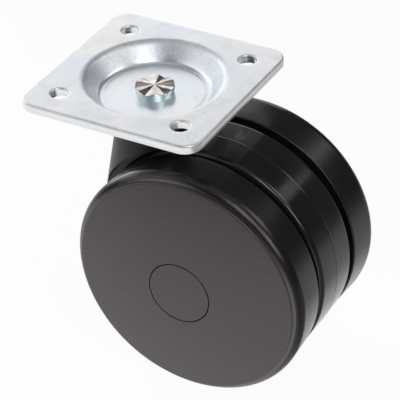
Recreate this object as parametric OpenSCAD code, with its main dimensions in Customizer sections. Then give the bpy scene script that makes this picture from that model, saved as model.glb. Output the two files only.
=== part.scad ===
// Twin-wheel swivel castor with a square screw-on plate.
// Frame: origin on the swivel axis in the plate's top face, +Z up, +X towards the axle, Y along the axle.
// Lengths are in millimetres and angles in degrees.

/* [Plate] */
// Side of the square plate
plate_side = 58.5; // [54:0.5:66]
// Thickness of the plate's sheet
plate_t = 2.75; // [2:0.25:3.25]
// Radius of the plate's corners
plate_corner_r = 5.5; // [3:0.5:8]
// Distance between neighbouring screw holes
hole_spacing = 40; // [38:0.5:44]
// Diameter of a screw hole
hole_d = 5.5; // [4.5:0.1:6.5]
// Depth of the pressed dish
dish_depth = 5.4; // [4.6:0.2:6.4]
// Radius where the dish's wall would meet the top face
dish_rim_r = 20.4; // [19:0.2:21.6]
// Slope of the dish's wall from the level
dish_wall_angle = 57; // [50:1:65]
// Radius of the rim's bend on the top side
rim_bend_r = 2.6; // [1.6:0.1:3.6]
// Radius of the rim's bend on the underside
dish_bend_r = 0.8; // [0.4:0.1:1.6]
// Width of the coined ring at the foot of the wall
coin_w = 1.6; // [1:0.1:2.4]
// Depth of the coined ring below the dish's floor
coin_h = 0.2; // [0.1:0.05:0.4]

/* [Kingpin] */
// Diameter of the pin in its bush
pin_d = 11; // [9:0.5:12]
// Length of the pin below its collar
pin_len = 28; // [26:0.5:31]
// Diameter of the tenon that is riveted in the plate
tenon_d = 9; // [7:0.5:10]
// Diameter of the struck head
head_d = 11.9; // [10.5:0.1:13]
// Height of the struck head above the dish's floor
head_h = 2.7; // [1.8:0.1:3]
// Number of grooves struck into the head
head_grooves = 6; // [4:1:10]
// Depth of a groove at the head's edge
groove_depth = 0.8; // [0.5:0.1:1.2]
// Share of the head's edge that the grooves take
groove_share = 0.6; // [0.4:0.05:0.95]
// Diameter of the collar under the plate
collar_d = 17; // [15:0.5:19]
// Thickness of the collar
collar_t = 1.5; // [1:0.25:2]
// Distance from the clip's groove to the pin's tip
clip_tail = 2.4; // [1.8:0.2:4]
// Chamfer on the pin's tip
pin_chamfer = 1; // [0.5:0.25:1.5]

/* [Swivel bearing] */
// Wall of the bush's sleeve
bush_wall = 1.9; // [1.4:0.1:2.4]
// Diameter of the bush's flange
bush_flange_d = 20; // [18:0.5:21.5]
// Thickness of the bush's flange
bush_flange_t = 1.25; // [1:0.25:1.75]
// Thickness of the thrust washer
washer_t = 1; // [0.5:0.25:1.5]
// Thickness of the kingpin's clip
clip_t = 1.2; // [0.8:0.1:1.6]
// Width of the kingpin's clip
clip_w = 2.3; // [1.8:0.1:2.5]
// Depth of the clip's groove in the pin
clip_groove = 0.9; // [0.6:0.1:1.1]
// Opening of the kingpin's clip
clip_mouth = 6; // [4:0.5:8]

/* [Housing] */
// Distance from the swivel axis to the axle
trail = 22; // [20:0.5:24]
// Depth of the axle below the plate's top face
axle_drop = 52; // [51:0.5:56]
// Diameter of the drum at its edges
drum_d = 74; // [70:0.5:74]
// Width of the drum
drum_w = 19.5; // [17.5:0.5:22]
// Rounding of the drum's edges
drum_edge_r = 1.6; // [0.8:0.1:2]
// Draft of the drum from its parting line to its edges
drum_draft = 0.6; // [0.4:0.2:1.6]
// Walls around the pockets that core the drum
drum_wall = 2.8; // [2.2:0.2:3.4]
// Thickness of the web in the drum's middle
drum_web = 4.5; // [3:0.5:6]
// Number of ribs in the drum
drum_ribs = 20; // [18:1:22]
// Diameter of the housing's hub
boss_d = 18; // [16:0.5:20]
// Length of the housing's hub beyond the drum's flank, one side
boss_out = 1.15; // [0.8:0.05:1.4]
// Diameter of the post at its top
post_d = 23.2; // [22.4:0.2:24]
// Flare of the post's side from the vertical
post_flare = 10; // [6:1:12]
// Height of the post's widest part above the axle
post_foot_h = 15; // [13:0.5:18]
// Clearance of the wheel arches around the wheels
arch_gap = 1.7; // [1.2:0.1:2.4]
// Height of the housing's underside above the ground
ground_gap = 7.5; // [6:0.5:10]

/* [Wheels] */
// Diameter of a wheel over its tread
wheel_d = 75; // [74:0.5:78]
// Gap between the drum's flank and a wheel
wheel_gap = 2.15; // [1.8:0.05:2.6]
// Distance from the castor's middle to the crown of a wheel's face
face_out = 29.1; // [28.4:0.1:30]
// Fall of the face from its crown to its edge
face_fall = 3.6; // [2.4:0.1:4.2]
// Width of the tread's shoulder that shows around the disc
shoulder_w = 2.3; // [1.8:0.1:2.8]
// Rounding of the tread's shoulder
shoulder_r = 3.7; // [3.2:0.1:4]
// Height of the disc's edge above the shoulder
edge_step = 0.475; // [0.3:0.025:0.7]
// Fall of the tread's radius towards the drum
tread_fall = 0.5; // [0.2:0.1:0.8]
// Thickness of the tread
tread_t = 3.7; // [3:0.1:4]
// Rounding of the tread's inner edge
tread_edge_r = 0.4; // [0.2:0.1:0.8]
// Thickness of the disc behind the face
disc_t = 3; // [2.5:0.25:3.5]
// Thickness of the wheel's rim under the tread
rim_t = 2.8; // [2.4:0.2:3.4]
// Number of ribs in a wheel
wheel_ribs = 18; // [16:1:20]
// Thickness of the ribs in wheels and drum
rib_t = 1.8; // [1.4:0.1:2]
// Wall of the wheel's hub around the cap's socket
hub_wall = 2.5; // [2:0.25:3]
// Diameter of the hub cap
cap_d = 19.5; // [18.5:0.1:21]
// Open joint around the hub cap
cap_joint = 0.25; // [0.15:0.05:0.4]
// Thickness of the hub cap at its middle
cap_t = 1.8; // [1.4:0.1:2.4]
// Diameter of the cap's plug in the hub
plug_d = 16; // [15:0.5:17]
// Length of the cap's plug
plug_len = 1.8; // [1.2:0.1:2]
// Wall of the cap's plug
plug_wall = 1.4; // [1:0.1:1.8]

/* [Axle] */
// Diameter of the axle
axle_d = 8; // [7:0.5:9]
// Chamfer on the axle's ends
axle_chamfer = 0.6; // [0.3:0.1:1]
// Length of the axle beyond its clips
axle_tail = 0.8; // [0.5:0.1:1]
// Thickness of the axle's clips
lock_t = 0.8; // [0.6:0.1:1]
// Diameter of the axle's clips
lock_d = 14; // [12.5:0.5:14.5]
// Width of the closed ring of an axle clip
lock_ring = 1.6; // [1.2:0.1:2]
// Number of teeth of an axle clip
lock_teeth = 6; // [4:1:8]
// Thickness of the wheel washers
spacer_t = 0.9; // [0.6:0.05:0.95]

/* [Fits] */
// Radial clearance of a running fit
run_fit = 0.05; // [0.02:0.01:0.09]
// Play along an axis between pieces that turn on each other
end_play = 0.1; // [0.05:0.05:0.2]
// Room between a turning piece and what it doesn't rest on
free_gap = 0.3; // [0.25:0.05:0.4]

/* [Hidden] */

$fn = 96;
// Length by which a cutter runs past what it cuts, and a joined piece runs into its neighbour
over = 1;
// Steps of a round stretch in a profile
arc_steps = 8;
// Steps of the face's dome
dome_steps = 14;

zinc = "#dfe3e6";
struck_steel = "#cfc6bf";
bright_steel = "#b8bcc0";
bush_black = "#2c2c2e";
housing_black = "#1b1a1c";
face_black = "#4a4648";
tread_black = "#252427";

// Sides of the castor: a wheel on the front side faces -Y
front = 1;
rear = -1;

// Stack on the swivel axis, from the dish's floor down
floor_z = -dish_depth;
plate_under_z = floor_z - plate_t;
collar_under_z = plate_under_z - collar_t;
washer_under_z = collar_under_z - washer_t;
bush_top_z = washer_under_z - end_play;
post_top_z = bush_top_z - bush_flange_t;
pin_tip_z = collar_under_z - pin_len;
groove_low_z = pin_tip_z + clip_tail;
groove_top_z = groove_low_z + clip_t;
bush_end_z = groove_top_z + end_play;
socket_end_z = pin_tip_z - free_gap;

pin_r = pin_d / 2;
groove_r = pin_r - clip_groove;
bush_in_r = pin_r + run_fit;
bush_out_r = bush_in_r + bush_wall;
clip_out_r = groove_r + clip_w;

// Across the castor, from its middle outwards
drum_half = drum_w / 2;
drum_r = drum_d / 2;
wheel_r = wheel_d / 2;
boss_end = drum_half + boss_out;
spacer_end = boss_end + spacer_t;
wheel_in = drum_half + wheel_gap;
hub_in = spacer_end + end_play;
plug_end = face_out - cap_t - plug_len;
lock_out = plug_end - free_gap;
lock_in = lock_out - lock_t;
hub_out = lock_in - end_play;
axle_end = lock_out + axle_tail;

axle_r = axle_d / 2;
wheel_bore_r = axle_r + run_fit;
plug_r = plug_d / 2;
cap_r = cap_d / 2;
cap_seat = face_out - cap_t;
hub_r = plug_r + hub_wall;
disc_r = wheel_r - shoulder_w;
disc_edge = face_out - face_fall;
flange_in = disc_edge - disc_t;
shoulder_at = disc_edge - edge_step - sqrt(shoulder_w * (2 * shoulder_r - shoulder_w));
seat_r = wheel_r - tread_t;
rim_in_r = seat_r - rim_t;
arch_r = wheel_r + arch_gap;

// Sphere of the face's dome: it falls by face_fall from the crown to the disc's edge
dome_r = (disc_r * disc_r + face_fall * face_fall) / (2 * face_fall);
function dome_at(r) = face_out - dome_r + sqrt(dome_r * dome_r - r * r);

// Points of an arc about a centre, from angle a to angle b
function arc(centre, r, a, b) =
    [for (i = [0 : arc_steps]) let (t = a + (b - a) * i / arc_steps) centre + r * [cos(t), sin(t)]];

// Points of a curve that leaves p towards q and reaches s from q
function bend(p, q, s) =
    [for (i = [0 : arc_steps]) let (t = i / arc_steps, u = 1 - t) u * u * p + 2 * t * u * q + t * t * s];

// Points on the dome, from radius a to radius b, lowered by depth
function dome_points(a, b, depth) =
    [for (i = [0 : dome_steps]) let (r = a + (b - a) * i / dome_steps) [r, dome_at(r) - depth]];

// Places children on the axle, their +Z pointing out of one side of the castor
module on_axle(side) {
    translate([trail, 0, -axle_drop]) rotate([side * 90, 0, 0]) children();
}

// Flat ring on the XY plane
module ring(r_in, r_out, h) {
    linear_extrude(h) difference() {
        circle(r_out);
        circle(r_in);
    }
}

// Ring of pockets between radial ribs
module pockets(r_in, r_out, ribs, z_low, z_high) {
    difference() {
        translate([0, 0, z_low]) ring(r_in, r_out, z_high - z_low);
        for (i = [0 : ribs - 1]) rotate(i * 360 / ribs)
            translate([r_in - over, -rib_t / 2, z_low - over])
                cube([r_out - r_in + 2 * over, rib_t, z_high - z_low + 2 * over]);
    }
}

// Plate: rounded square outline
module plate_outline() {
    straight = plate_side - 2 * plate_corner_r;
    square([straight, plate_side], center = true);
    square([plate_side, straight], center = true);
    for (x = [-1, 1], y = [-1, 1]) translate([x, y] * straight / 2) circle(plate_corner_r);
}

// Profile of the dish's upper or lower skin, from the rim to the foot of the wall.
// rim is the corner at the rim, rim_r its rounding, foot_z the level of the floor.
function dish_skin(rim, rim_r, foot_z) =
    let (
        run = rim_r * tan(dish_wall_angle / 2),
        foot_r = rim[0] - (rim[1] - foot_z) / tan(dish_wall_angle)
    )
    concat(arc([rim[0] + run, rim[1] - rim_r], rim_r, 90, 90 + dish_wall_angle), [[foot_r, foot_z]]);

module top_plate() {
    // Underside skin lies one sheet thickness below the upper skin, square to the wall
    skin_shift = plate_t * tan(dish_wall_angle / 2);
    under_rim = [dish_rim_r + skin_shift, -plate_t];
    upper = dish_skin([dish_rim_r, 0], rim_bend_r, floor_z - coin_h);
    under = dish_skin(under_rim, dish_bend_r, plate_under_z);
    floor_r = upper[len(upper) - 1][0] - coin_w;
    color(zinc) difference() {
        union() {
            translate([0, 0, -plate_t]) linear_extrude(plate_t) plate_outline();
            rotate_extrude() polygon(concat(
                [[0, -plate_t / 2], [under[0][0], -plate_t / 2]], under, [[0, plate_under_z]]));
        }
        rotate_extrude() polygon(concat(
            [[0, over], [upper[0][0], over]], upper,
            [[floor_r, floor_z - coin_h], [floor_r - coin_h, floor_z], [0, floor_z]]));
        translate([0, 0, plate_under_z - over]) cylinder(d = tenon_d, h = plate_t + 2 * over);
        for (x = [-1, 1], y = [-1, 1]) translate([x * hole_spacing / 2, y * hole_spacing / 2, 0])
            translate([0, 0, -plate_t - over]) cylinder(d = hole_d, h = plate_t + 2 * over);
    }
}

// One groove struck into the head, from its middle to past its edge
module head_groove() {
    edge_pitch = PI * head_d / head_grooves;
    open = edge_pitch * groove_share / 2 / groove_depth;
    tall = 2 * groove_depth;
    rotate([0, atan(2 * groove_depth / head_d), 0]) rotate([90, 0, 90])
        linear_extrude(head_d) polygon([[0, 0], [open * tall, tall], [-open * tall, tall]]);
}

module kingpin() {
    head_top_z = floor_z + head_h;
    color(struck_steel) difference() {
        rotate_extrude() polygon([
            [0, head_top_z], [head_d / 2, head_top_z], [head_d / 2, floor_z], [tenon_d / 2, floor_z],
            [tenon_d / 2, plate_under_z], [collar_d / 2, plate_under_z], [collar_d / 2, collar_under_z],
            [pin_r, collar_under_z], [pin_r, groove_top_z], [groove_r, groove_top_z],
            [groove_r, groove_low_z], [pin_r, groove_low_z], [pin_r, pin_tip_z + pin_chamfer],
            [pin_r - pin_chamfer, pin_tip_z], [0, pin_tip_z]
        ]);
        for (i = [0 : head_grooves - 1]) rotate((i + 0.5) * 360 / head_grooves)
            translate([0, 0, head_top_z]) head_groove();
    }
}

module kingpin_clip() {
    color(bright_steel) translate([0, 0, groove_low_z]) difference() {
        ring(groove_r, clip_out_r, clip_t);
        translate([0, -clip_mouth / 2, -over]) cube([clip_out_r + over, clip_mouth, clip_t + 2 * over]);
    }
}

module thrust_washer() {
    color(bright_steel) translate([0, 0, washer_under_z]) ring(pin_r + run_fit, collar_d / 2, washer_t);
}

module swivel_bush() {
    color(bush_black) rotate_extrude() polygon([
        [bush_in_r, bush_top_z], [bush_flange_d / 2, bush_top_z], [bush_flange_d / 2, post_top_z],
        [bush_out_r, post_top_z], [bush_out_r, bush_end_z], [bush_in_r, bush_end_z]
    ]);
}

// Drum between the wheels, tapering from the parting line in its middle to rounded edges
module drum() {
    edge = drum_r - drum_edge_r;
    flat = drum_half - drum_edge_r;
    pocket_in = boss_d / 2 + drum_wall;
    pocket_out = drum_r - drum_wall;
    difference() {
        rotate_extrude() polygon(concat(
            [[0, drum_half]], arc([edge, flat], drum_edge_r, 90, 0),
            [[drum_r + flat * tan(drum_draft), 0]],
            arc([edge, -flat], drum_edge_r, 0, -90), [[0, -drum_half]]));
        pockets(pocket_in, pocket_out, drum_ribs, drum_web / 2, drum_half + over);
        pockets(pocket_in, pocket_out, drum_ribs, -drum_half - over, -drum_web / 2);
    }
}

// Post around the kingpin: a flared round, closed by a curve that runs into the drum
module post() {
    top_r = post_d / 2;
    foot_z = post_foot_h - axle_drop;
    flare = tan(post_flare);
    foot_r = top_r + (post_top_z - foot_z) * flare;
    toe_h = post_foot_h / 2;
    knee = [foot_r + toe_h * flare / 2, foot_z - toe_h / 2];
    toe = [foot_r - toe_h * flare, foot_z - toe_h];
    rotate_extrude() polygon(concat(
        [[0, post_top_z], [top_r, post_top_z]], bend([foot_r, foot_z], knee, toe), [[0, -axle_drop]]));
}

module housing() {
    arch_from = drum_half - drum_edge_r;
    reach = 2 * wheel_r;
    color(housing_black) difference() {
        union() {
            on_axle(front) drum();
            on_axle(front) translate([0, 0, -boss_end]) cylinder(d = boss_d, h = 2 * boss_end);
            difference() {
                post();
                for (side = [front, rear]) on_axle(side)
                    translate([0, 0, arch_from]) cylinder(r = arch_r, h = reach);
            }
        }
        translate([0, 0, socket_end_z]) cylinder(r = bush_out_r, h = post_top_z - socket_end_z + over);
        on_axle(front) translate([0, 0, -reach]) cylinder(d = axle_d, h = 2 * reach);
        translate([trail - reach, -reach, -axle_drop - wheel_r - reach])
            cube([2 * reach, 2 * reach, reach + ground_gap]);
    }
}

module axle() {
    small_r = axle_r - axle_chamfer;
    color(bright_steel) on_axle(front) rotate_extrude() polygon([
        [0, -axle_end], [small_r, -axle_end], [axle_r, axle_chamfer - axle_end],
        [axle_r, axle_end - axle_chamfer], [small_r, axle_end], [0, axle_end]
    ]);
}

module wheel_washer(side) {
    color(bright_steel) on_axle(side) translate([0, 0, boss_end]) ring(wheel_bore_r, boss_d / 2, spacer_t);
}

// Push-on clip: a closed ring with teeth that bite on the axle
module axle_clip(side) {
    tooth_w = PI * axle_d / lock_teeth / 2;
    lock_r = lock_d / 2;
    color(bright_steel) on_axle(side) translate([0, 0, lock_in]) difference() {
        union() {
            ring(lock_r - lock_ring, lock_r, lock_t);
            for (i = [0 : lock_teeth - 1]) rotate(i * 360 / lock_teeth)
                translate([0, -tooth_w / 2, 0]) cube([lock_r - lock_ring / 2, tooth_w, lock_t]);
        }
        translate([0, 0, -over]) cylinder(r = axle_r, h = lock_t + 2 * over);
    }
}

// Wheel: domed disc, hub with a socket for the cap, rim, and ribs on the hidden side
module wheel(side) {
    socket_r = cap_r + cap_joint;
    rim_end = wheel_in + tread_edge_r;
    color(face_black) on_axle(side) difference() {
        rotate_extrude() polygon(concat(
            [[wheel_bore_r, hub_in], [wheel_bore_r, hub_out], [plug_r, hub_out]],
            [[plug_r, cap_seat], [socket_r, cap_seat]],
            dome_points(socket_r, disc_r, 0),
            [[disc_r, flange_in], [seat_r, flange_in], [seat_r, rim_end]],
            [[boss_d / 2, rim_end], [boss_d / 2, hub_in]]));
        difference() {
            pockets(hub_r, rim_in_r, wheel_ribs, wheel_in - over, face_out);
            rotate_extrude() polygon(concat(
                [[0, face_out + over]], dome_points(0, disc_r, disc_t), [[disc_r, face_out + over]]));
        }
    }
}

// Tread: smooth ring with a round shoulder that meets the disc's edge
module tread(side) {
    shoulder = [wheel_r - shoulder_r, shoulder_at];
    shoulder_end = acos(1 - shoulder_w / shoulder_r);
    inner = [wheel_r - tread_fall - tread_edge_r, wheel_in + tread_edge_r];
    color(tread_black) on_axle(side) rotate_extrude() polygon(concat(
        [[seat_r, wheel_in], [seat_r, flange_in], [disc_r, flange_in]],
        arc(shoulder, shoulder_r, shoulder_end, 0),
        arc(inner, tread_edge_r, 0, -90)));
}

// Hub cap: flush with the face, with a plug that grips the hub's socket
module cap(side) {
    color(face_black) on_axle(side) rotate_extrude() polygon(concat(
        [[0, cap_seat]], dome_points(0, cap_r, 0), [[cap_r, cap_seat], [plug_r, cap_seat],
        [plug_r, plug_end], [plug_r - plug_wall, plug_end], [plug_r - plug_wall, cap_seat]]));
}

top_plate();
kingpin();
kingpin_clip();
thrust_washer();
housing();
swivel_bush();
axle();
wheel_washer(front);  // front_washer
wheel_washer(rear);  // rear_washer
axle_clip(front);  // front_clip
axle_clip(rear);  // rear_clip
wheel(front);  // front_wheel
tread(front);  // front_tread
cap(front);  // front_cap
wheel(rear);  // rear_wheel
tread(rear);  // rear_tread
cap(rear);  // rear_cap
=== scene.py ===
# %% [markdown]
# # A twin-wheel swivel castor
# The real object is a furniture castor: a pressed steel plate, a kingpin riveted through it, a moulded
# housing that swivels on the pin, and two wheels that roll on one axle. The CAD model fixes every size and
# every motion. This lesson loads it, models the pieces that show with finer meshes in the same places, and
# gives each one a procedural finish.

# %% Load the frame
import math

import bmesh
import bpy
from mathutils import Matrix, Vector


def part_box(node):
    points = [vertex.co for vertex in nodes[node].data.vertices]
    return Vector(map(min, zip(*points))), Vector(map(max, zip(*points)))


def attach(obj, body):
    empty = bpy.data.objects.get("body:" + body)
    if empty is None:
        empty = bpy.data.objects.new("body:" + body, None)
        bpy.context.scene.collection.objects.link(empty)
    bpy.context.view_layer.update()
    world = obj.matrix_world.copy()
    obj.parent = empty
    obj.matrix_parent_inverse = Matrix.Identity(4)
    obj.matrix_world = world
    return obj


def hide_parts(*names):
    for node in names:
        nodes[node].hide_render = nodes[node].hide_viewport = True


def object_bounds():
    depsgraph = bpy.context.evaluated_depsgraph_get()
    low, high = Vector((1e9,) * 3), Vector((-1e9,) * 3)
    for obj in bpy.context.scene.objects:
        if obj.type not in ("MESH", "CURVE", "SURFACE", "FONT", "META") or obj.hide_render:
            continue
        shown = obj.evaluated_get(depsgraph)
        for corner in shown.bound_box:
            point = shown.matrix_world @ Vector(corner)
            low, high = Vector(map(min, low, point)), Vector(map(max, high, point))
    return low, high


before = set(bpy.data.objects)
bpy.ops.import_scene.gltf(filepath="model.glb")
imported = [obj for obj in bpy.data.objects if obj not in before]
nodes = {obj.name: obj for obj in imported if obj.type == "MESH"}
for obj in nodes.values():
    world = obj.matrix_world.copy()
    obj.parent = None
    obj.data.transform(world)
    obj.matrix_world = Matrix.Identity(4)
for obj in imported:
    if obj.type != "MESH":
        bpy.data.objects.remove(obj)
cad_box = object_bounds()
print("loaded", len(nodes), "CAD nodes, box", [round(c, 4) for corner in cad_box for c in corner])

# %% [markdown]
# ## Shared measures
# Blender works in metres here, and the profiles below are easier to read in millimetres, so one factor turns
# one into the other. The wheels' place comes from the CAD tread: its box is centred on the axle.

# %% Measures
MM = 0.001
MERGE = 0.002 * MM
TO_FRONT = Vector((0, -1, 0))
TO_REAR = Vector((0, 1, 0))
UP = Vector((0, 0, 1))
ACROSS = Vector((1, 0, 0))
tread_low, tread_high = (Vector(corner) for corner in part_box("front_tread"))
middle = (tread_low + tread_high) / 2
axle_line = Vector((middle.x, 0, middle.z))
floor_z = cad_box[0][2]
print("axle at", [round(c / MM, 2) for c in axle_line], "mm, floor at", round(floor_z / MM, 2), "mm")

# %% [markdown]
# ## From a bmesh to a piece
# Every piece starts as a bmesh. Its doubled points are merged, its faces are turned outwards, it is shaded
# smooth with sharp edges kept where the surface turns by more than a given angle, and then it rides on the
# CAD body that carries it.

# %% Helpers for pieces
def to_object(bm, name):
    bmesh.ops.remove_doubles(bm, verts=bm.verts, dist=MERGE)
    bmesh.ops.recalc_face_normals(bm, faces=bm.faces)
    mesh = bpy.data.meshes.new(name)
    bm.to_mesh(mesh)
    bm.free()
    piece = bpy.data.objects.new(name, mesh)
    bpy.context.collection.objects.link(piece)
    return piece


def shade(piece, sharp_angle):
    mesh = piece.data
    mesh.shade_smooth()
    mesh.set_sharp_from_angle(angle=math.radians(sharp_angle))


def dress(piece, finish, body, node):
    piece.data.materials.clear()
    piece.data.materials.append(finish)
    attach(piece, body)
    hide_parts(node)
    print(piece.name, "has", len(piece.data.polygons), "faces and stands for", node)


# %% [markdown]
# Most of the castor is turned or moulded round, so a profile and one full spin make it. A profile is a list
# of (radius, height) points. A cylinder with bevels could do some of it, but a drawn profile keeps the exact
# shoulders. Smooth shading blends a small rounding into the flat beside it, so each long straight stretch
# gets a point near either end that keeps its middle flat. Where two round forms cross, a Boolean modifier
# joins or cuts them, and its result becomes the mesh at once.

# %% Helpers for spun and joined shapes
def arc(centre, radius, start, end, steps=8):
    turns = [math.radians(start + (end - start) * i / steps) for i in range(steps + 1)]
    return [(centre[0] + radius * math.cos(t), centre[1] + radius * math.sin(t)) for t in turns]


def with_guards(profile, closed, near=0.25):
    guarded = []
    for start, end in zip(profile, profile[1:] + profile[:1]):
        guarded.append(start)
        run = math.dist(start, end)
        if run > 4 * near:
            shares = (near / run, 1 - near / run)
            guarded += [tuple(a + (b - a) * t for a, b in zip(start, end)) for t in shares]
    last = len(guarded) if closed else guarded.index(profile[-1]) + 1
    return guarded[:last]


def spin(profile, centre, along, steps=192, closed=True, into=None):
    bm = into or bmesh.new()
    drawn = with_guards(profile, closed)
    points = [bm.verts.new(centre + (ACROSS * r + along * h) * MM) for r, h in drawn]
    lines = [bm.edges.new(pair) for pair in zip(points, points[1:])]
    if closed:
        lines.append(bm.edges.new((points[-1], points[0])))
    bmesh.ops.spin(bm, geom=points + lines, cent=centre, axis=along, angle=2 * math.pi, steps=steps,
                   use_merge=True)
    return bm


def combine(base, tool, operation):
    change = base.modifiers.new("combine", "BOOLEAN")
    change.operation = operation
    change.object = tool
    change.solver = "EXACT"
    graph = bpy.context.evaluated_depsgraph_get()
    joined = bpy.data.meshes.new_from_object(base.evaluated_get(graph))
    base.modifiers.clear()
    base.data = joined
    bpy.data.objects.remove(tool)


# %% [markdown]
# ## Helpers for finishes
# A finish is a Principled shader with noise driving its colour, gloss and bump. These helpers only add a
# node, set its inputs by name and join it to the next one. All patterns read Object coordinates, which are
# metres from the origin.

# %% Node helpers
def new_finish(name):
    finish = bpy.data.materials.new(name)
    finish.use_nodes = True
    return finish, finish.node_tree, finish.node_tree.nodes["Principled BSDF"]


def feed(tree, value, socket):
    if isinstance(value, bpy.types.NodeSocket):
        tree.links.new(value, socket)
    else:
        socket.default_value = value


def add(tree, kind, settings=None, **inputs):
    made = tree.nodes.new(kind)
    for key, value in (settings or {}).items():
        setattr(made, key, value)
    for key, value in inputs.items():
        feed(tree, value, made.inputs[key.replace("_", " ")])
    return made


def place(tree):
    return tree.nodes.new("ShaderNodeTexCoord").outputs["Object"]


def part_of(tree, vector, axis):
    return add(tree, "ShaderNodeSeparateXYZ", Vector=vector).outputs[axis]


def facing_up(tree):
    return part_of(tree, tree.nodes.new("ShaderNodeNewGeometry").outputs["True Normal"], "Z")


def bump(tree, shader, height, distance, strength):
    made = add(tree, "ShaderNodeBump", Height=height, Distance=distance, Strength=strength)
    tree.links.new(made.outputs["Normal"], shader.inputs["Normal"])


# %% [markdown]
# Noise makes clouds and grain, and cells make specks. A remap turns a pattern into a mask: it rises or falls
# between two levels, and most of a noise lies between 0.3 and 0.7. A coat then lays a colour over what is
# under it where its mask is white.

# %% Patterns and masks
MOST_NOISE = (0.3, 0.7)


def noise(tree, where, scale, detail=3.0, roughness=0.5):
    made = add(tree, "ShaderNodeTexNoise", Vector=where, Scale=scale, Detail=detail, Roughness=roughness)
    return made.outputs["Fac"]


def cells(tree, where, scale):
    return add(tree, "ShaderNodeTexVoronoi", Vector=where, Scale=scale).outputs["Distance"]


def remap(tree, value, low, high, to_low, to_high):
    made = add(tree, "ShaderNodeMapRange", {"clamp": True}, Value=value, From_Min=low, From_Max=high,
               To_Min=to_low, To_Max=to_high)
    return made.outputs["Result"]


def rise(tree, value, low, high):
    return remap(tree, value, low, high, 0, 1)


def fall(tree, value, low, high):
    return remap(tree, value, low, high, 1, 0)


def mix_colour(tree, factor, first, second):
    made = add(tree, "ShaderNodeMix", {"data_type": "RGBA"}, Factor=factor)
    for key, colour in (("A", first), ("B", second)):
        socket = [s for s in made.inputs if s.name == key and s.type == "RGBA"][0]
        feed(tree, colour if isinstance(colour, bpy.types.NodeSocket) else (*colour, 1), socket)
    return [s for s in made.outputs if s.type == "RGBA"][0]


def maths(tree, operation, first, second=0.0):
    made = add(tree, "ShaderNodeMath", {"operation": operation})
    feed(tree, first, made.inputs[0])
    feed(tree, second, made.inputs[1])
    return made.outputs[0]


def times(tree, first, second):
    return maths(tree, "MULTIPLY", first, second)


def plus(tree, first, second):
    return maths(tree, "ADD", first, second)


def coat(tree, under, colour, mask, strength):
    return mix_colour(tree, times(tree, mask, strength), under, colour)


# %% Places in a pattern
def stretched(tree, where, turn, scale):
    made = add(tree, "ShaderNodeMapping", {"vector_type": "POINT"}, Vector=where)
    made.inputs["Rotation"].default_value = (0, 0, math.radians(turn))
    made.inputs["Scale"].default_value = scale
    return made.outputs["Vector"]


def vector_maths(tree, operation, first, second=(0, 0, 0)):
    made = add(tree, "ShaderNodeVectorMath", {"operation": operation})
    feed(tree, first, made.inputs[0])
    feed(tree, second, made.inputs[1])
    return made.outputs


def from_swivel(tree, where):
    flat = vector_maths(tree, "MULTIPLY", where, (1, 1, 0))["Vector"]
    return vector_maths(tree, "LENGTH", flat)["Value"]


# %% [markdown]
# ## Zinc-plated steel
# The plate is cold-rolled sheet with bright zinc plating: a bluish-white metal with soft blotches, faint rub
# marks, pits and a few handling scratches. Where the press drew the dish's wall, the skin of the steel is
# stretched and shows a coarse dark grain. The distance from the swivel axis picks that wall out, because the
# plate's object has its origin on the axis. The edges were sheared: below the burnished upper half of a cut
# edge, the steel tore, and is darker and rougher.

# %% Zinc colours and zones
COOL_ZINC = ((0.79, 0.84, 0.88), (0.89, 0.93, 0.955))
WARM_ZINC = ((0.84, 0.845, 0.86), (0.935, 0.935, 0.935))
RUBBED = (0.62, 0.63, 0.66)
SCRATCHED = (0.45, 0.45, 0.48)
PITTED = (0.42, 0.42, 0.45)
DRAWN_GRAIN = (0.40, 0.40, 0.47)
# The next tone is painted shade: it darkens and blues the dish wall where the wall mirrors the dark room.
DISH_WALL_PAINTED_SHADE = (0.68, 0.77, 0.86)
SHEARED = (0.95, 0.96, 0.97)
TORN = (0.36, 0.36, 0.38)
WALL_FOOT = (16.8 * MM, 17.8 * MM)
WALL_RIM = (20.6 * MM, 22.4 * MM)
DISH_FADE = (16 * MM, 20 * MM)
CUT_EDGES = (23 * MM, 24 * MM)
TORN_BELOW = (-1.2 * MM, -0.8 * MM)
TORN_WAVE = 1.2 * MM


def zinc_zones(tree, where):
    radius = from_swivel(tree, where)
    blotch = noise(tree, where, scale=75, detail=4, roughness=0.55)
    upright = fall(tree, maths(tree, "ABSOLUTE", facing_up(tree)), low=0.2, high=0.4)
    wavy_height = plus(tree, part_of(tree, where, "Z"), times(tree, blotch, TORN_WAVE))
    cut = times(tree, upright, rise(tree, radius, *CUT_EDGES))
    drawn_out = stretched(tree, where, turn=28, scale=(1, 22, 1))
    lines = noise(tree, drawn_out, scale=90, detail=4, roughness=0.6)
    handled = rise(tree, noise(tree, where, scale=60, detail=2), low=0.52, high=0.60)
    return {"blotch": blotch, "upright": upright,
            "wall": times(tree, rise(tree, radius, *WALL_FOOT), fall(tree, radius, *WALL_RIM)),
            "flat": rise(tree, radius, *DISH_FADE),
            "torn": times(tree, cut, fall(tree, wavy_height, *TORN_BELOW)),
            "scratch": times(tree, rise(tree, lines, low=0.66, high=0.72), handled),
            "grain": noise(tree, where, scale=1500, detail=2)}


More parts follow.
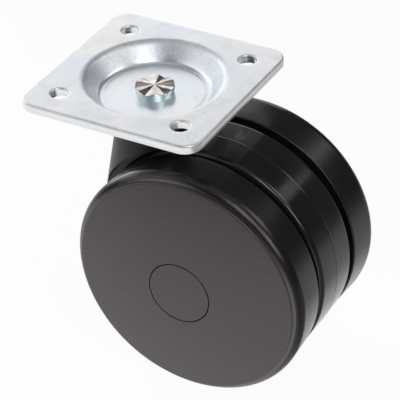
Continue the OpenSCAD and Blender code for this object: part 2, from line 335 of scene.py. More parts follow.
# %% Zinc colour
def zinc_colour(tree, where, zone):
    cloud = rise(tree, zone["blotch"], low=0.40, high=0.62)
    tint = rise(tree, noise(tree, where, scale=38), low=0.42, high=0.60)
    rub = rise(tree, noise(tree, where, scale=130, detail=5, roughness=0.65), low=0.51, high=0.66)
    pits = fall(tree, cells(tree, where, scale=190.0), low=0.03, high=0.09)
    coarse = times(tree, zone["wall"], rise(tree, zone["grain"], low=0.38, high=0.62))
    cool = mix_colour(tree, cloud, *COOL_ZINC)
    warm = mix_colour(tree, cloud, *WARM_ZINC)
    tone = coat(tree, cool, warm, zone["flat"], strength=tint)
    tone = coat(tree, tone, RUBBED, rub, strength=0.30)
    tone = coat(tree, tone, SCRATCHED, zone["scratch"], strength=0.35)
    tone = coat(tree, tone, PITTED, pits, strength=0.45)
    tone = coat(tree, tone, DRAWN_GRAIN, coarse, strength=0.22)
    # Painted shade: a darker, bluer tone over the whole dish wall stands in for the dark reflections in its
    # hollow.
    tone = coat(tree, tone, DISH_WALL_PAINTED_SHADE, zone["wall"], strength=0.16)
    tone = coat(tree, tone, SHEARED, zone["upright"], strength=0.9)
    return coat(tree, tone, TORN, zone["torn"], strength=0.16)


# %% Zinc finish
BLOTCH_LEVELS = (0.25, 0.75)
ZINC_GLOSS = (0.26, 0.34)
FLAT_DULLER = 0.08
WALL_DULLER = 0.10
EDGE_SHINIER = -0.08
FLAT_GRAIN = 0.10
WALL_GRAIN = 0.9
TORN_GRAIN = 1.2
SCRATCH_DEPTH = -0.10


def zinc_finish():
    finish, tree, shader = new_finish("zinc_plating")
    where = place(tree)
    zone = zinc_zones(tree, where)
    shader.inputs["Metallic"].default_value = 0.9
    tree.links.new(zinc_colour(tree, where, zone), shader.inputs["Base Color"])
    gloss = remap(tree, zone["blotch"], *BLOTCH_LEVELS, *ZINC_GLOSS)
    for name, change in (("flat", FLAT_DULLER), ("wall", WALL_DULLER), ("upright", EDGE_SHINIER)):
        gloss = plus(tree, gloss, times(tree, zone[name], change))
    tree.links.new(gloss, shader.inputs["Roughness"])
    rough = plus(tree, times(tree, zone["wall"], WALL_GRAIN), FLAT_GRAIN)
    rough = plus(tree, rough, times(tree, zone["torn"], TORN_GRAIN))
    skin = plus(tree, times(tree, zone["grain"], rough), times(tree, zone["scratch"], SCRATCH_DEPTH))
    bump(tree, shader, skin, distance=0.06 * MM, strength=0.7)
    return finish


zinc = zinc_finish()
print("made", zinc.name)

# %% [markdown]
# ## Struck and turned steel
# The kingpin's head was hammered into a star after plating, so bare, slightly warm nickel-coloured metal
# shows on its facets, while its side keeps a duller, bluish plating. The way a face points tells the two
# apart. Washers, clips and axle are plain bright steel with turning marks.

# %% Bare metal finishes
CLOUD_TO_GRAIN = 3


def metal_finish(name, tones, gloss, side, side_gloss, grain_scale, grain_depth):
    finish, tree, shader = new_finish(name)
    where = place(tree)
    cloud = noise(tree, where, scale=grain_scale / CLOUD_TO_GRAIN)
    grain = noise(tree, where, scale=grain_scale)
    upward = rise(tree, facing_up(tree), low=0.3, high=0.5)
    top = mix_colour(tree, rise(tree, cloud, low=0.35, high=0.65), *tones)
    shinier = plus(tree, remap(tree, grain, *MOST_NOISE, *gloss), -side_gloss)
    shader.inputs["Metallic"].default_value = 1.0
    tree.links.new(mix_colour(tree, upward, side, top), shader.inputs["Base Color"])
    tree.links.new(plus(tree, times(tree, upward, shinier), side_gloss), shader.inputs["Roughness"])
    bump(tree, shader, grain, distance=grain_depth * MM, strength=0.5)
    return finish


struck = metal_finish("struck_steel", tones=((0.54, 0.49, 0.48), (0.84, 0.80, 0.78)), gloss=(0.10, 0.26),
                      side=(0.66, 0.74, 0.78), side_gloss=0.36, grain_scale=900, grain_depth=0.05)
bright = metal_finish("bright_steel", tones=((0.55, 0.56, 0.57), (0.68, 0.69, 0.70)), gloss=(0.18, 0.34),
                      side=(0.60, 0.61, 0.62), side_gloss=0.26, grain_scale=700, grain_depth=0.02)
print("made", struck.name, bright.name)

# %% [markdown]
# ## Black plastics
# The wheel's face has a fine spark-eroded texture, which scatters the light to a soft warm grey and holds a
# few specks of dust. The tread and the housing come out of polished moulds and are darker and glossier, with
# faint smears from handling. The tread's outer shoulder and the housing's post are satin, between the two.

# %% Textured plastic
FACE_TONES = ((0.015, 0.013, 0.0138), (0.020, 0.0175, 0.0183))
FACE_GLOSS = (0.40, 0.52)
FACE_GLINT = (1.0, 0.90, 0.94, 1)
DUST = (0.16, 0.155, 0.15)


def face_finish():
    finish, tree, shader = new_finish("spark_textured_plastic")
    where = place(tree)
    texture = noise(tree, where, scale=3600, detail=2)
    specks = fall(tree, cells(tree, where, scale=230.0), low=0.03, high=0.05)
    tone = mix_colour(tree, rise(tree, noise(tree, where, scale=45), *MOST_NOISE), *FACE_TONES)
    tree.links.new(mix_colour(tree, specks, tone, DUST), shader.inputs["Base Color"])
    tree.links.new(remap(tree, texture, *MOST_NOISE, *FACE_GLOSS), shader.inputs["Roughness"])
    shader.inputs["IOR"].default_value = 1.6
    shader.inputs["Specular IOR Level"].default_value = 0.85
    shader.inputs["Specular Tint"].default_value = FACE_GLINT
    bump(tree, shader, texture, distance=0.03 * MM, strength=0.7)
    return finish


textured = face_finish()
print("made", textured.name)

# %% Polished plastics
POLISHED_GLINT = (1, 0.93, 0.97, 1)
SMEAR_LEVELS = (0.3, 0.75)
POST_FADE = (15 * MM, 18 * MM)
TREAD_TONES = ((0.0085, 0.0075, 0.0082), (0.012, 0.0105, 0.0115))
HOUSING_TONES = ((0.011, 0.0102, 0.011), (0.015, 0.0138, 0.0145))
BEARING_TONES = ((0.020, 0.020, 0.021), (0.030, 0.030, 0.031))


def polished_finish(name, tones, gloss, ior=1.5, shine=0.5, post_satin=0.0):
    finish, tree, shader = new_finish(name)
    where = place(tree)
    smear = noise(tree, where, scale=60, detail=4)
    fine = noise(tree, where, scale=1800, detail=2)
    satin = times(tree, fall(tree, from_swivel(tree, where), *POST_FADE), post_satin)
    roughness = plus(tree, remap(tree, smear, *SMEAR_LEVELS, *gloss), satin)
    tree.links.new(mix_colour(tree, rise(tree, smear, *MOST_NOISE), *tones), shader.inputs["Base Color"])
    tree.links.new(roughness, shader.inputs["Roughness"])
    shader.inputs["IOR"].default_value = ior
    shader.inputs["Specular IOR Level"].default_value = shine
    shader.inputs["Specular Tint"].default_value = POLISHED_GLINT
    bump(tree, shader, fine, distance=0.004 * MM, strength=0.5)
    return finish


tread_skin = polished_finish("polished_tread", TREAD_TONES, gloss=(0.20, 0.30))
shoulder_skin = polished_finish("satin_shoulder", TREAD_TONES, gloss=(0.26, 0.34), ior=1.6, shine=0.95)
housing_skin = polished_finish("polished_housing", HOUSING_TONES, gloss=(0.13, 0.20), post_satin=0.25)
bearing = polished_finish("bearing_plastic", BEARING_TONES, gloss=(0.32, 0.44))
print("made", tread_skin.name, shoulder_skin.name, housing_skin.name, bearing.name)

# %% [markdown]
# ## Wheels
# Each wheel is three pieces: a disc with a gently domed face, a ring of tread whose round shoulder stops a
# little below the disc's edge, and a cap pressed flush into the hub. That small step at the edge and the fine
# joint round the cap are the only lines on the face, so they are modelled, not painted.

# %% Wheel measures
TREAD_R = 37.5
TREAD_FALL = 0.5
SEAT_R = 33.8
SHOULDER = (33.8, 21.6)
SHOULDER_R = 3.7
DISC_R = 35.2
DISC_T = 3.0
WHEEL_IN = 11.9
RIM_END = 12.3
RIM_R = 31.0
FLANGE_IN = 22.5
FACE_OUT = 29.1
FACE_FALL = 3.6
FACE_EDGE = 0.3
FACE_LIP = 0.02
FACE_TURN = 80
HUB_R = 10.5
HUB_OUT = 24.3
BORE_R = 4.05
BOSS_R = 9.0
SOCKET_R = 10.0
CAP_R = 9.75
CAP_SEAT = 27.3
CAP_EDGE = 0.12
PLUG_R = 8.0
PLUG_END = 25.5
PLUG_WALL = 1.4
dome_r = (DISC_R ** 2 + FACE_FALL ** 2) / (2 * FACE_FALL)
print("face is part of a ball of", round(dome_r, 1), "mm radius, with its crown at", FACE_OUT, "mm")

# %% Wheel profiles
def dome(r):
    return FACE_OUT - dome_r + math.sqrt(dome_r ** 2 - r ** 2)


def dome_run(start, end, sink=0.0, steps=24):
    radii = [start + (end - start) * i / steps for i in range(steps + 1)]
    return [(r, dome(r) - sink) for r in radii]


def tread_profile():
    soft = RIM_END - WHEEL_IN
    stop = math.degrees(math.acos((DISC_R - SHOULDER[0]) / SHOULDER_R))
    inner = (TREAD_R - TREAD_FALL - soft, RIM_END)
    seat = [(SEAT_R, WHEEL_IN), (SEAT_R, FLANGE_IN), (DISC_R, FLANGE_IN)]
    return seat + arc(SHOULDER, SHOULDER_R, stop, 0, steps=14) + arc(inner, soft, 0, -90, steps=5)


def disc_profile():
    socket = [(BORE_R, HUB_OUT), (PLUG_R, HUB_OUT), (PLUG_R, CAP_SEAT), (SOCKET_R, CAP_SEAT),
              (SOCKET_R, dome(SOCKET_R) - CAP_EDGE)]
    face = dome_run(SOCKET_R + CAP_EDGE, DISC_R - FACE_EDGE)
    edge_centre = (DISC_R - FACE_EDGE, dome(DISC_R) - FACE_EDGE + FACE_LIP)
    edge = arc(edge_centre, FACE_EDGE, FACE_TURN, 0, steps=5)
    back = [(DISC_R, FLANGE_IN), (SEAT_R, FLANGE_IN), (SEAT_R, RIM_END), (RIM_R, RIM_END)]
    hub = [(HUB_R, RIM_END), (BOSS_R, RIM_END), (BOSS_R, WHEEL_IN), (BORE_R, WHEEL_IN)]
    return socket + face + edge + back + dome_run(RIM_R, HUB_R, sink=DISC_T, steps=10) + hub


def cap_profile():
    hollow = PLUG_R - PLUG_WALL
    lip = [(CAP_R, dome(CAP_R) - CAP_EDGE), (CAP_R, CAP_SEAT)]
    plug = [(PLUG_R, CAP_SEAT), (PLUG_R, PLUG_END), (hollow, PLUG_END), (hollow, CAP_SEAT), (0, CAP_SEAT)]
    return dome_run(0, CAP_R - CAP_EDGE, steps=12) + lip + plug


print("face edge at", round(dome(DISC_R), 2), "mm from the middle")

# %% [markdown]
# The disc's hidden side is a hub and a rim joined by thin ribs, as on any moulded wheel. The spin makes the
# round parts, each rib is a cube stretched between hub and rim and turned to its place, and a Boolean union
# joins them. The tread's faces beyond a given distance from the middle are its satin shoulder.

# %% Build both wheels
WHEEL_RIBS = 18
WHEEL_RIB_BITE = 0.6
RIB_T = 1.8
SATIN_FROM = 24.5
WHEEL_SHARP = 32


def ribs(along, count, inner, outer, low, high):
    bm = bmesh.new()
    length = outer - inner
    for i in range(count):
        turn = Matrix.Rotation(2 * math.pi * i / count, 4, along)
        shift = Vector((inner + length / 2, 0, 0)) + along * (low + high) / 2
        size = Matrix.Diagonal((length * MM, (high - low) * MM, RIB_T * MM, 1))
        spot = Matrix.Translation(axle_line) @ turn @ Matrix.Translation(shift * MM)
        bmesh.ops.create_cube(bm, size=1, matrix=spot @ size)
    return to_object(bm, "ribs")


def build_wheel(side, along, body):
    disc = to_object(spin(disc_profile(), axle_line, along), side + "_disc")
    spokes = ribs(along, WHEEL_RIBS, HUB_R - WHEEL_RIB_BITE, RIM_R + WHEEL_RIB_BITE, RIM_END, HUB_OUT)
    combine(disc, spokes, "UNION")
    tread = to_object(spin(tread_profile(), axle_line, along), side + "_tread_ring")
    cap = to_object(spin(cap_profile(), axle_line, along, closed=False), side + "_hub_cap")
    pieces = ((disc, textured, "face_plastic", "wheel"), (tread, tread_skin, "tread", "tread"),
              (cap, textured, "face_plastic", "cap"))
    for piece, finish, slot, node in pieces:
        shade(piece, WHEEL_SHARP)
        dress(piece, finish, body, side + "_" + node)
    tread.data.materials.append(shoulder_skin)
    for face in tread.data.polygons:
        if abs(face.center.y) > SATIN_FROM * MM:
            face.material_index = 1


build_wheel("front", TO_FRONT, "front_roller")
build_wheel("rear", TO_REAR, "rear_roller")

# %% [markdown]
# ## Pressed plate
# The plate is one sheet with soft sheared edges. The dish and the screw holes are round, so they are spun.
# The outer edge starts as a grid with its four corners bevelled, and its border is extruded outwards, down
# and back in. Each of these bands ends in a strip of flat steel, so the two flat sides that are filled
# between them stay optically flat.

# %% Plate measures
PLATE_SIDE = 58.5
PLATE_T = 2.75
PLATE_CORNER = 5.5
PLATE_EDGE = 0.35
PLATE_SHARP = 40
HOLE_SPACING = 40.0
HOLE_R = 2.75
HOLE_STEPS = 64
DISH_DEPTH = 5.4
DISH_RIM = 20.93
DISH_WALL = 50.0
RIM_BEND = 3.2
RIM_BEND_UNDER = 0.8
RIM_EDGE = 23.4
FOOT_BEND = 2.0
FOOT_BEND_UNDER = 1.2
COIN_R = 15.16
COIN_H = 0.08
COIN_STEP = ((0.2, 1), (0, 0.85), (-0.4, 0.15), (-0.6, 0), (-1, 0))
TENON_R = 4.5
STRIP = 0.6
LEVEL = 0.01 * MM
print("plate", PLATE_SIDE, "mm square and", PLATE_T, "mm thick, dish", DISH_DEPTH, "mm deep")

# %% Dish
def dish_skin(rim_r, rim_z, rim_bend, foot_z, foot_bend):
    half_turn = math.tan(math.radians(DISH_WALL / 2))
    foot_r = rim_r - (rim_z - foot_z) / math.tan(math.radians(DISH_WALL))
    rim_centre = (rim_r + rim_bend * half_turn, rim_z - rim_bend)
    foot_centre = (foot_r - foot_bend * half_turn, foot_z + foot_bend)
    rim = arc(rim_centre, rim_bend, 90, 90 + DISH_WALL, steps=12)
    foot = arc(foot_centre, foot_bend, DISH_WALL - 90, -90, steps=8)
    return [(RIM_EDGE, rim_z)] + rim + foot


def dish_profile():
    under_z = -DISH_DEPTH - PLATE_T
    under_r = DISH_RIM + PLATE_T * math.tan(math.radians(DISH_WALL / 2))
    upper = dish_skin(DISH_RIM, 0, RIM_BEND, -DISH_DEPTH - COIN_H, FOOT_BEND)
    under = dish_skin(under_r, -PLATE_T, RIM_BEND_UNDER, under_z, FOOT_BEND_UNDER)
    coin = [(COIN_R + shift, -DISH_DEPTH - COIN_H * share) for shift, share in COIN_STEP]
    return upper + coin + [(TENON_R, -DISH_DEPTH), (TENON_R, under_z)] + under[::-1]


print("dish profile of", len(dish_profile()), "points")

# %% Outer edge
def edge_steps():
    turns = [math.radians(t) for t in (0, 30, 60, 90)]
    top = [(PLATE_EDGE * (1 - math.sin(t)), -PLATE_EDGE * (1 - math.cos(t))) for t in turns]
    half = [(PLATE_EDGE + STRIP, 0)] + top
    return half + [(inset, -PLATE_T - z) for inset, z in half[::-1]]


def outer_edge(bm):
    steps = edge_steps()
    start = steps[0][0]
    flat = bmesh.ops.create_grid(bm, x_segments=1, y_segments=1, size=(PLATE_SIDE / 2 - start) * MM)
    bmesh.ops.bevel(bm, geom=flat["verts"], affect="VERTICES", offset=(PLATE_CORNER - start) * MM,
                    offset_type="OFFSET", segments=12, profile=0.5, material=-1)
    sheet = bm.faces[:]
    ring = [e for f in sheet for e in f.edges]
    bmesh.ops.delete(bm, geom=sheet, context="FACES_ONLY")
    round_at = (PLATE_SIDE / 2 - PLATE_CORNER) * MM
    for inset, z in steps[1:]:
        pulled = bmesh.ops.extrude_edge_only(bm, edges=ring)["geom"]
        ring = [g for g in pulled if isinstance(g, bmesh.types.BMEdge)]
        for v in (g for g in pulled if isinstance(g, bmesh.types.BMVert)):
            centre = Vector((math.copysign(round_at, v.co.x), math.copysign(round_at, v.co.y)))
            v.co.xy = centre + (v.co.xy - centre).normalized() * (PLATE_CORNER - inset) * MM
            v.co.z = z * MM


print("outer edge of", len(edge_steps()), "steps")

# %% Build the plate
def plate_mesh():
    bm = bmesh.new()
    outer_edge(bm)
    hole = [(HOLE_R + inset, z) for inset, z in edge_steps()]
    for x in (-1, 1):
        for y in (-1, 1):
            centre = Vector((x, y, 0)) * HOLE_SPACING / 2 * MM
            spin(hole, centre, UP, steps=HOLE_STEPS, closed=False, into=bm)
    spin(dish_profile(), Vector(), UP, closed=False, into=bm)
    bmesh.ops.remove_doubles(bm, verts=bm.verts, dist=MERGE)
    for z in (0, -PLATE_T):
        level = [e for e in bm.edges if all(abs(v.co.z - z * MM) < LEVEL for v in e.verts)]
        border = [e for e in level if e.is_boundary]
        made = bmesh.ops.triangle_fill(bm, use_beauty=True, edges=border, normal=UP)["geom"]
        area = sum(g.calc_area() for g in made if isinstance(g, bmesh.types.BMFace)) / MM ** 2
        print("flat side at", z, "mm:", len(border), "border edges,", round(area), "square mm")
    return bm


plate = to_object(plate_mesh(), "pressed_plate")
shade(plate, PLATE_SHARP)
dress(plate, zinc, "plate", "top_plate")

# %% [markdown]
# ## Kingpin
# The pin's head was struck with a star punch: wedges run from the middle to the edge and grow deeper and
# wider on the way, and the metal between them is pushed up and out. The punch stood a little askew, so the
# wedges are shallower on one side. A spun head with rings of points lets a simple wave push the points down
# and in where the punch's blades struck. Below the plate, a collar, a long pin and a groove for the clip
# follow.

# %% Kingpin measures
HEAD_R = 5.95
HEAD_H = 2.7
HEAD_RINGS = 16
HEAD_SHARP = 15
HEAD_LIP_IN = 0.1
HEAD_LIP_DOWN = 0.12
HEAD_WAIST_DOWN = 0.9
HEAD_FOOT_IN = 0.45
PIN_STEPS = 180
CROWN_FALL = 0.12
GROOVES = 6
GROOVE_DEPTH = 0.8
GROOVE_SHARE = 0.6
PETAL_SWELL = 0.12
PETAL_SPREAD = 0.04
UNEVEN = 0.45
WEAK_SIDE = math.radians(-70)
STRUCK_DOWN_TO = 0.5
STILL_R = 0.05
COLLAR_R = 8.5
COLLAR_TOP = -8.15
COLLAR_END = -9.65
PIN_R = 5.5
PIN_END = -37.65
CLIP_R = 4.6
CLIP_TOP = -34.05
CLIP_END = -35.25
TIP_R = 4.5
TIP_TOP = -36.65
head_top = -DISH_DEPTH + HEAD_H
print("head", HEAD_H, "mm high with", GROOVES, "grooves, pin ends at", PIN_END, "mm")

# %% Build the kingpin
def struck_height(turn):
    half = math.pi / GROOVES
    offset = abs(turn % (2 * half) - half) / half
    depth = GROOVE_DEPTH * (1 - UNEVEN * (1 + math.cos(turn - WEAK_SIDE)) / 2)
    if offset < GROOVE_SHARE:
        return depth * (offset / GROOVE_SHARE - 1)
    return PETAL_SWELL * math.sin(math.pi / 2 * (offset - GROOVE_SHARE) / (1 - GROOVE_SHARE))


def kingpin_profile():
    crown = [(HEAD_R * i / HEAD_RINGS, head_top) for i in range(HEAD_RINGS)]
    side = [(HEAD_R - HEAD_LIP_IN, head_top), (HEAD_R, head_top - HEAD_LIP_DOWN),
            (HEAD_R - HEAD_LIP_IN, head_top - HEAD_WAIST_DOWN), (HEAD_R - HEAD_FOOT_IN, -DISH_DEPTH)]
    collar = [(TENON_R, -DISH_DEPTH), (TENON_R, COLLAR_TOP), (COLLAR_R, COLLAR_TOP), (COLLAR_R, COLLAR_END)]
    shank = [(PIN_R, COLLAR_END), (PIN_R, CLIP_TOP), (CLIP_R, CLIP_TOP), (CLIP_R, CLIP_END)]
    tip = [(PIN_R, CLIP_END), (PIN_R, TIP_TOP), (TIP_R, PIN_END), (0, PIN_END)]
    return crown + side + collar + shank + tip


def kingpin_mesh():
    bm = spin(kingpin_profile(), Vector(), UP, steps=PIN_STEPS, closed=False)
    bmesh.ops.remove_doubles(bm, verts=bm.verts, dist=MERGE)
    for v in bm.verts:
        r = v.co.xy.length
        if v.co.z < (head_top - STRUCK_DOWN_TO) * MM or r < STILL_R * MM:
            continue
        share = r / (HEAD_R * MM)
        lift = struck_height(math.atan2(v.co.y, v.co.x)) * share - CROWN_FALL * share ** 3
        v.co.z += lift * MM
        v.co.xy *= 1 + PETAL_SPREAD * lift / GROOVE_DEPTH
    return bm


pin = to_object(kingpin_mesh(), "struck_kingpin")
shade(pin, HEAD_SHARP)
dress(pin, struck, "plate", "kingpin")

# %% [markdown]
# ## Housing
# One moulding holds everything: a flared post round the kingpin, and a drum between the wheels with a parting
# line round its middle, from which both halves taper a little. The drum is spun about the axle and the post
# about the swivel axis. Boolean operations then cut the wheel arches and join the two, as the mould's
# cavities do.

# %% Housing measures
DRUM_R = 37.0
DRUM_HALF = 9.75
DRUM_EDGE = 1.6
DRUM_DRAFT = 0.6
DRUM_WALL = 2.8
DRUM_WEB = 2.25
DRUM_RIBS = 20
DRUM_RIB_BITE = 0.5
DRUM_STEPS = 256
LINE_HALF = 0.14
LINE_CREST_HALF = 0.05
LINE_H = 0.05
BOSS_END = 10.9
AXLE_R = 4.0
ARCH_R = 39.2
POST_R = 11.6
POST_TOP = -12.0
POST_EDGE = 0.4
POST_FLARE = 10
POST_FOOT_UP = 15
POST_BEND = 7.5
SOCKET_END = -37.95
BUSH_R = 7.45
GROUND_GAP = 7.5
CUT_LENGTH = 40
CUT_NEAR = 0.001 * MM
HOUSING_SHARP = 34
pocket_in = BOSS_R + DRUM_WALL
pocket_out = DRUM_R - DRUM_WALL
drum_flat = DRUM_HALF - DRUM_EDGE
print("drum", 2 * DRUM_R, "mm across, post", 2 * POST_R, "mm across at the top")

# %% Housing profiles
def drum_profile():
    crest = DRUM_R + drum_flat * math.tan(math.radians(DRUM_DRAFT))
    line = [(crest, LINE_HALF), (crest + LINE_H, LINE_CREST_HALF), (crest + LINE_H, -LINE_CREST_HALF),
            (crest, -LINE_HALF)]
    pockets = [(pocket_out, DRUM_HALF), (pocket_out, DRUM_WEB), (pocket_in, DRUM_WEB), (pocket_in, DRUM_HALF),
               (BOSS_R, DRUM_HALF), (BOSS_R, BOSS_END)]
    mirrored = [(r, -h) for r, h in pockets[::-1]]
    upper = arc((DRUM_R - DRUM_EDGE, drum_flat), DRUM_EDGE, 0, 90, steps=8)
    lower = arc((DRUM_R - DRUM_EDGE, -drum_flat), DRUM_EDGE, -90, 0, steps=8)
    shell = lower + line[::-1] + upper
    return [(AXLE_R, -BOSS_END)] + mirrored + shell + pockets + [(AXLE_R, BOSS_END)]


def curve(start, knee, end, steps=10):
    shares = [i / steps for i in range(steps + 1)]
    corners = list(zip(start, knee, end))
    return [tuple((1 - t) ** 2 * a + 2 * t * (1 - t) * b + t * t * c for a, b, c in corners) for t in shares]


def post_profile():
    flare = math.tan(math.radians(POST_FLARE))
    axle_z = axle_line.z / MM
    foot_z = axle_z + POST_FOOT_UP
    foot_r = POST_R + (POST_TOP - foot_z) * flare
    knee = (foot_r + POST_BEND / 2 * flare, foot_z - POST_BEND / 2)
    toe = (foot_r - POST_BEND * flare, foot_z - POST_BEND)
    top = [(0, POST_TOP), (POST_R - POST_EDGE, POST_TOP), (POST_R, POST_TOP - POST_EDGE)]
    return top + curve((foot_r, foot_z), knee, toe) + [(0, axle_z)]


print("drum profile of", len(drum_profile()), "points, post profile of", len(post_profile()))

# %% Join the housing
def rod(name, centre, along, r, length):
    return to_object(spin([(0, 0), (r, 0), (r, length), (0, length)], centre, along, closed=False), name)


housing = to_object(spin(post_profile(), Vector(), UP, closed=False), "housing_moulding")
for along in (TO_FRONT, TO_REAR):
    arch = rod("arch", axle_line + along * drum_flat * MM, along, ARCH_R, CUT_LENGTH)
    combine(housing, arch, "DIFFERENCE")
drum = to_object(spin(drum_profile(), axle_line, TO_FRONT, steps=DRUM_STEPS), "drum")
webs = ribs(TO_FRONT, DRUM_RIBS, pocket_in - DRUM_RIB_BITE, pocket_out + DRUM_RIB_BITE, -DRUM_HALF, DRUM_HALF)
combine(drum, webs, "UNION")
combine(housing, drum, "UNION")
combine(housing, rod("socket", UP * SOCKET_END * MM, UP, BUSH_R, CUT_LENGTH), "DIFFERENCE")
print("post and drum joined:", len(housing.data.polygons), "faces")

# %% [markdown]
# A full round drum would all but touch the floor between the wheels, so the mould stops short there: the
# drum is cut flat a little above the floor.

# %% Cut the drum above the floor
whole = bmesh.new()
whole.from_mesh(housing.data)
everything = whole.verts[:] + whole.edges[:] + whole.faces[:]
cut = bmesh.ops.bisect_plane(whole, geom=everything, dist=CUT_NEAR, clear_outer=True, plane_no=(0, 0, -1),
                             plane_co=(0, 0, floor_z + GROUND_GAP * MM))["geom_cut"]
bmesh.ops.triangle_fill(whole, use_beauty=True, edges=[g for g in cut if isinstance(g, bmesh.types.BMEdge)])
whole.to_mesh(housing.data)
whole.free()
shade(housing, HOUSING_SHARP)
dress(housing, housing_skin, "swivel", "housing")

# %% [markdown]
# ## Inner pieces
# Bush, washers, clips and axle hardly show, and the CAD solids already have their shape, so they only get a
# finish.

# %% Finishes for the CAD pieces that stay
inner_finishes = {"kingpin_clip": bright, "thrust_washer": bright, "swivel_bush": bearing, "axle": bright,
                  "front_washer": bright, "rear_washer": bright, "front_clip": bright, "rear_clip": bright}
for name, finish in inner_finishes.items():
    mesh = nodes[name].data
    mesh.materials.clear()
    mesh.materials.append(finish)
    print(name, "gets", finish.name)

# %% [markdown]
# ## Floor
# The photograph was taken on white paper under soft light. The floor is a pale plane that shows as white to
# the camera, and near the castor to its reflections too, and still takes a soft shadow. In the photograph's
# reflections the paper is bright close to the castor, dimmer far off, and darkest to the right and behind,
# so masks paint that light and shade onto it: a painted pool of light near the castor and a painted shadow
# to its right and behind, both in the paper's colour and in its glow for reflections. Seen from below it is
# clear, so that a view from under the castor isn't blocked.

# %% Floor plane
FLOOR_HALF = 5.0
floor_bm = bmesh.new()
bmesh.ops.create_grid(floor_bm, x_segments=1, y_segments=1, size=FLOOR_HALF,
                      matrix=Matrix.Translation((0, 0, floor_z)))
floor_mesh = bpy.data.meshes.new("paper_floor")
floor_bm.to_mesh(floor_mesh)
floor_bm.free()
floor = bpy.data.objects.new("paper_floor", floor_mesh)
bpy.context.collection.objects.link(floor)
print("floor at", round(floor_z / MM, 2), "mm")

# %% Painted light and shadow on the paper
FAR_FADE = (0.20, 0.38)
FAR_SHARE = 0.2
REAR_FADE = (0.05, 0.15)
REAR_SHARE = 0.75
RIGHT_CORNER = (0.060, -0.024, 0)
RIGHT_WAY = (0.616, 0.788, 0)
FRONT_CORNER = (0.068, 0.025, 0)
FRONT_WAY = (0.616, -0.788, 0)
CORNER_SOFT = 0.015
SHADE_SHARES = (0.45, 0.8)
REAR_FOOT = (0.055, 0.030, floor_z)
FOOT_FADE = (0.014, 0.034)


def beyond(tree, spot, corner, way, soft):
    past = vector_maths(tree, "SUBTRACT", spot, corner)["Vector"]
    along = vector_maths(tree, "DOT_PRODUCT", past, way)["Value"]
    return rise(tree, along, -soft / 2, soft)


# Painted light and shadow on the paper: bright near the swivel axis, fading far off and towards the rear,
# with a painted shadow to the right of the castor and behind it.
def painted_paper_light(tree, spot):
    in_front = beyond(tree, spot, FRONT_CORNER, FRONT_WAY, CORNER_SOFT)
    shaded = beyond(tree, spot, RIGHT_CORNER, RIGHT_WAY, CORNER_SOFT)
    shaded = times(tree, shaded, remap(tree, in_front, 0, 1, *SHADE_SHARES))
    from_foot = vector_maths(tree, "DISTANCE", spot, REAR_FOOT)["Value"]
    shaded = times(tree, shaded, rise(tree, from_foot, *FOOT_FADE))
    near = remap(tree, from_swivel(tree, spot), *FAR_FADE, 1, FAR_SHARE)
    near = times(tree, near, remap(tree, part_of(tree, spot, "Y"), *REAR_FADE, 1, REAR_SHARE))
    return times(tree, near, fall(tree, shaded, 0, 1))


print("paper fades from", FAR_FADE[0], "m to", FAR_FADE[1], "m away")

# %% Floor finish
# The paper's colour runs from a painted shadow to paper white.
PAINTED_PAPER_SHADE_TONES = ((0.06, 0.06, 0.06), (0.90, 0.90, 0.90))
SEEN_SHARE = 0.96


def blend(tree, factor, first, second):
    made = tree.nodes.new("ShaderNodeMixShader")
    for source, socket in zip((factor, first, second), made.inputs):
        tree.links.new(source, socket)
    return made.outputs["Shader"]


def paper_finish():
    finish, tree, shader = new_finish("white_paper_painted_shade")
    rays = tree.nodes.new("ShaderNodeLightPath").outputs
    near = painted_paper_light(tree, place(tree))
    shader.inputs["Roughness"].default_value = 0.9
    # The paper's colour and its glow for reflections both carry the painted light and shadow from the masks.
    tree.links.new(mix_colour(tree, near, *PAINTED_PAPER_SHADE_TONES), shader.inputs["Base Color"])
    mirrored = maths(tree, "MAXIMUM", rays["Is Glossy Ray"], rays["Is Transmission Ray"])
    in_view = times(tree, rays["Is Camera Ray"], SEEN_SHARE)
    seen = maths(tree, "MAXIMUM", in_view, times(tree, mirrored, near))
    glow = add(tree, "ShaderNodeEmission", Color=(1, 1, 1, 1), Strength=1.0)
    lit = blend(tree, seen, shader.outputs["BSDF"], glow.outputs["Emission"])
    below = tree.nodes.new("ShaderNodeNewGeometry").outputs["Backfacing"]
    clear = tree.nodes.new("ShaderNodeBsdfTransparent").outputs["BSDF"]
    tree.links.new(blend(tree, below, lit, clear), tree.nodes["Material Output"].inputs["Surface"])
    return finish


paper = paper_finish()
floor.data.materials.append(paper)
print("floor gets", paper.name)

# %% [markdown]
# ## Light
# Metal and black plastic show the room more than their own colour, so the lamps stand where the photograph's
# own reflections put them. A lamp is given by the direction it shines from, its size and how bright its cloth
# looks, where 1 is paper white. A large dim box hangs overhead. A wide one behind on the left whitens the
# plate, with a low strip under it, and another wide one stands on the left. Two bright boxes to the right of
# the camera draw the lines along the shoulders, a third one lights the castor from the right, and a small
# window stands behind on the right.

# %% World
ROOM_COLOUR = (0.075, 0.072, 0.076, 1)
world = bpy.data.worlds.new("studio")
bpy.context.scene.world = world
world.use_nodes = True
sky = world.node_tree.nodes["Background"]
sky.inputs["Color"].default_value = ROOM_COLOUR
sky.inputs["Strength"].default_value = 1.0
print("made world", world.name)

# %% Lamps
LAMP_DISTANCE = 1.0
WHITE = (1, 1, 1)
PALE_BLUE = (0.96, 0.96, 1)


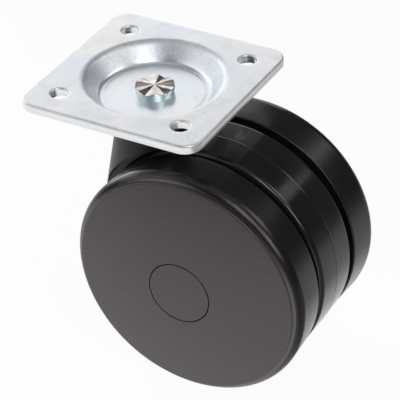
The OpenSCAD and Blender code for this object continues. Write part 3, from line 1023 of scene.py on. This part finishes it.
def softbox(name, azimuth, elevation, width, height, brightness, colour=WHITE):
    lamp = bpy.data.lights.new(name, "AREA")
    lamp.shape = "RECTANGLE"
    lamp.size = width
    lamp.size_y = height
    lamp.color = colour
    lamp.energy = brightness * math.pi * width * height
    holder = bpy.data.objects.new(name, lamp)
    turn = math.radians(azimuth)
    tilt = math.radians(elevation)
    way = Vector((math.cos(tilt) * math.cos(turn), math.cos(tilt) * math.sin(turn), math.sin(tilt)))
    holder.location = axle_line / 2 + way * LAMP_DISTANCE
    holder.rotation_euler = (-way).to_track_quat("-Z", "Y").to_euler()
    bpy.context.collection.objects.link(holder)
    print(name, "of", round(lamp.energy, 2), "W at", [round(c, 2) for c in holder.location])


softbox("overhead", azimuth=0, elevation=90, width=1.1, height=1.1, brightness=0.32)
softbox("back_left", azimuth=137, elevation=20, width=1.35, height=0.85, brightness=1.12)
softbox("back_left_low", azimuth=148, elevation=3, width=0.5, height=0.2, brightness=2.4)
softbox("front_left", azimuth=-157, elevation=31, width=1.6, height=0.7, brightness=1.05)
softbox("strip_low", azimuth=-29, elevation=25, width=0.36, height=0.4, brightness=3.8)
softbox("strip_high", azimuth=-43, elevation=51, width=0.36, height=0.45, brightness=3.8)
softbox("right", azimuth=32, elevation=42, width=0.55, height=0.3, brightness=2.8)
softbox("window", azimuth=53, elevation=30, width=0.1, height=0.2, brightness=1.1, colour=PALE_BLUE)

# %% [markdown]
# ## Camera
# The camera's place, turn and lens were found by matching the plate's corners, its holes and the wheels'
# rims. The lens follows from its length in pixels of the photograph.

# %% Camera
AZIMUTH = math.radians(30.45)
ELEVATION = math.radians(34.62)
ROLL = math.radians(2.45)
EYE = Vector((266.3, -429.9, 304.8)) * MM
FOCAL_PIXELS = 2030
PHOTO_PIXELS = 400
SENSOR_WIDTH = 36.0
outward = math.cos(ELEVATION)
back = Vector((math.sin(AZIMUTH) * outward, -math.cos(AZIMUTH) * outward, math.sin(ELEVATION)))
level = Vector((math.cos(AZIMUTH), math.sin(AZIMUTH), 0))
upright = back.cross(level)
right = level * math.cos(ROLL) - upright * math.sin(ROLL)
top = level * math.sin(ROLL) + upright * math.cos(ROLL)
lens = bpy.data.cameras.new("photo_camera")
lens.sensor_width = SENSOR_WIDTH
lens.lens = FOCAL_PIXELS / PHOTO_PIXELS * SENSOR_WIDTH
lens.clip_start = 0.05
lens.clip_end = 20
camera = bpy.data.objects.new("photo_camera", lens)
camera.matrix_world = Matrix.Translation(EYE) @ Matrix((right, top, back)).transposed().to_4x4()
bpy.context.collection.objects.link(camera)
bpy.context.scene.camera = camera
bpy.context.scene.view_settings.view_transform = "Standard"
print("camera at", [round(c, 3) for c in EYE], "lens", round(lens.lens, 1), "mm")
